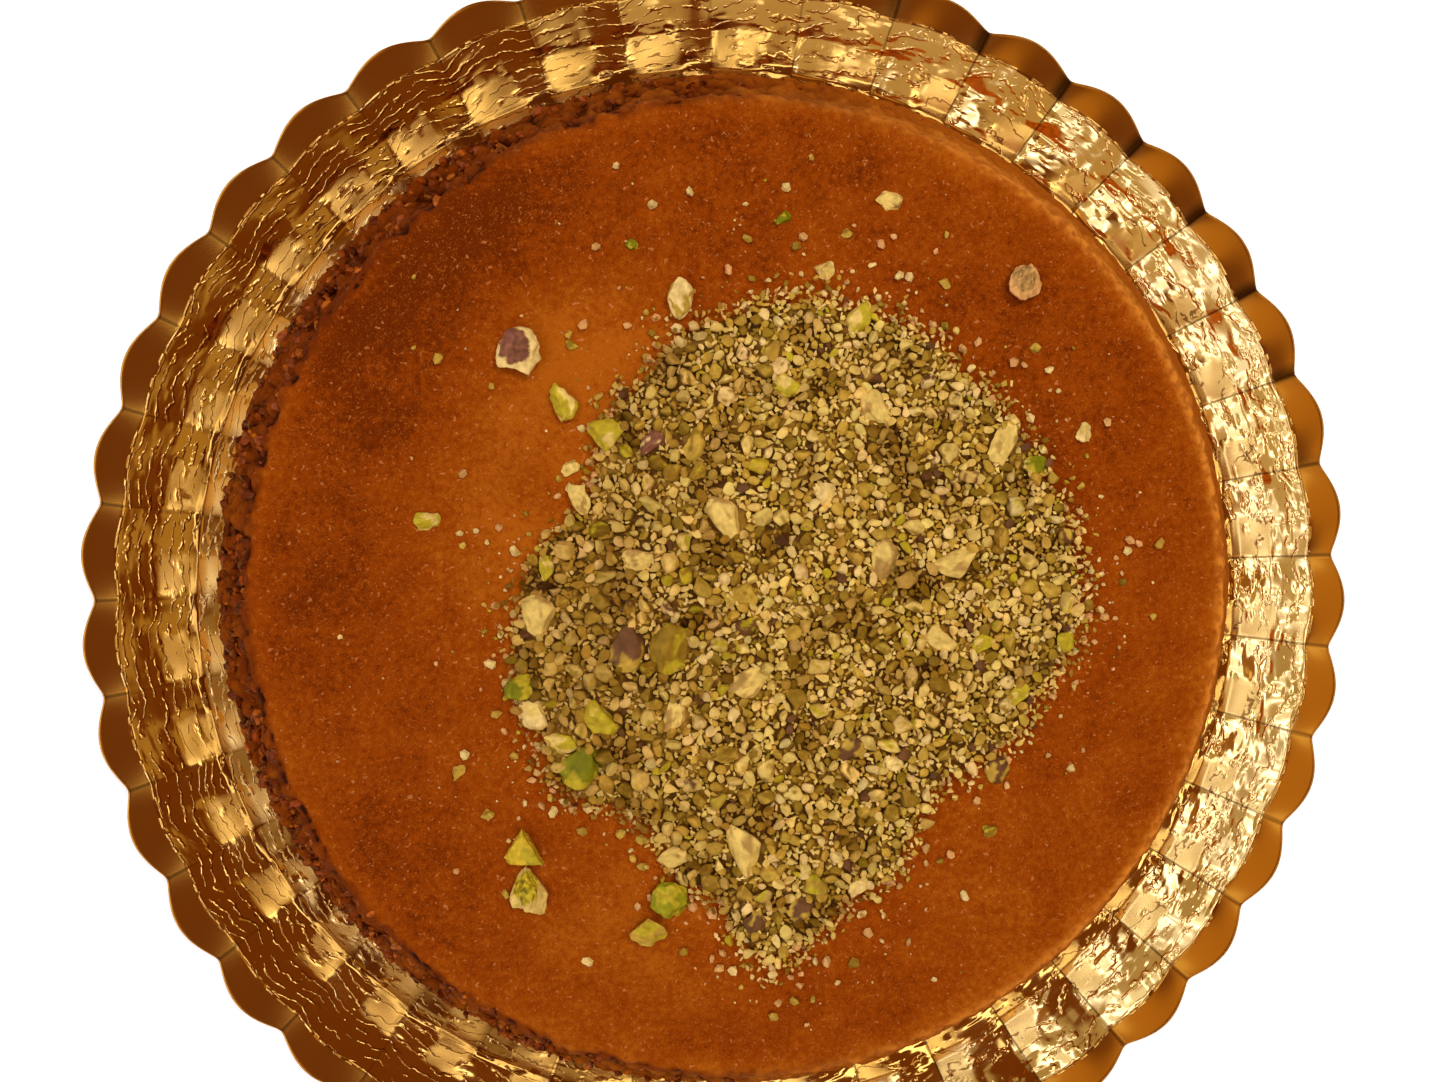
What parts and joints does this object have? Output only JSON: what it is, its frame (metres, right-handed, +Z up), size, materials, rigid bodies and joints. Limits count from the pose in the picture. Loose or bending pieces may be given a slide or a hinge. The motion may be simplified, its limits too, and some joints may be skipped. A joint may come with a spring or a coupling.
{
  "type": "kunafa on a foil plate",
  "caption": "Round uncut kunafa with a golden brown semolina crust and a heap of chopped pistachios, on a scalloped gold foil plate.",
  "frame": {"origin": "on the plate's axis, level with the flat underside that it stands on", "axes": "+Z up, out of the plate; +X to the right and +Y away in the picture, which looks down on the dish"},
  "size_m": [0.2803, 0.2804, 0.0267],
  "materials": {
    "foil_gold": "bright embossed gold foil on card",
    "kunafa_crust": "syrupy golden brown semolina crust",
    "pistachio_chopped": "dry chopped nut",
    "pistachio_green": "dry chopped nut",
    "pistachio_skin": "dry nut skin"
  },
  "bodies": {
    "root": {"foil_plate": "foil_gold", "kunafa": "kunafa_crust", "pistachio_heap": "pistachio_chopped", "pistachio_piece_purple": "pistachio_skin", "pistachio_piece_pale": "pistachio_chopped", "pistachio_piece_slab": "pistachio_chopped", "pistachio_piece_triangle": "pistachio_green", "pistachio_piece_speckled": "pistachio_green", "pistachio_piece_green": "pistachio_green", "pistachio_piece_pear": "pistachio_green", "pistachio_piece_low": "pistachio_chopped"}
  },
  "joints": []
}
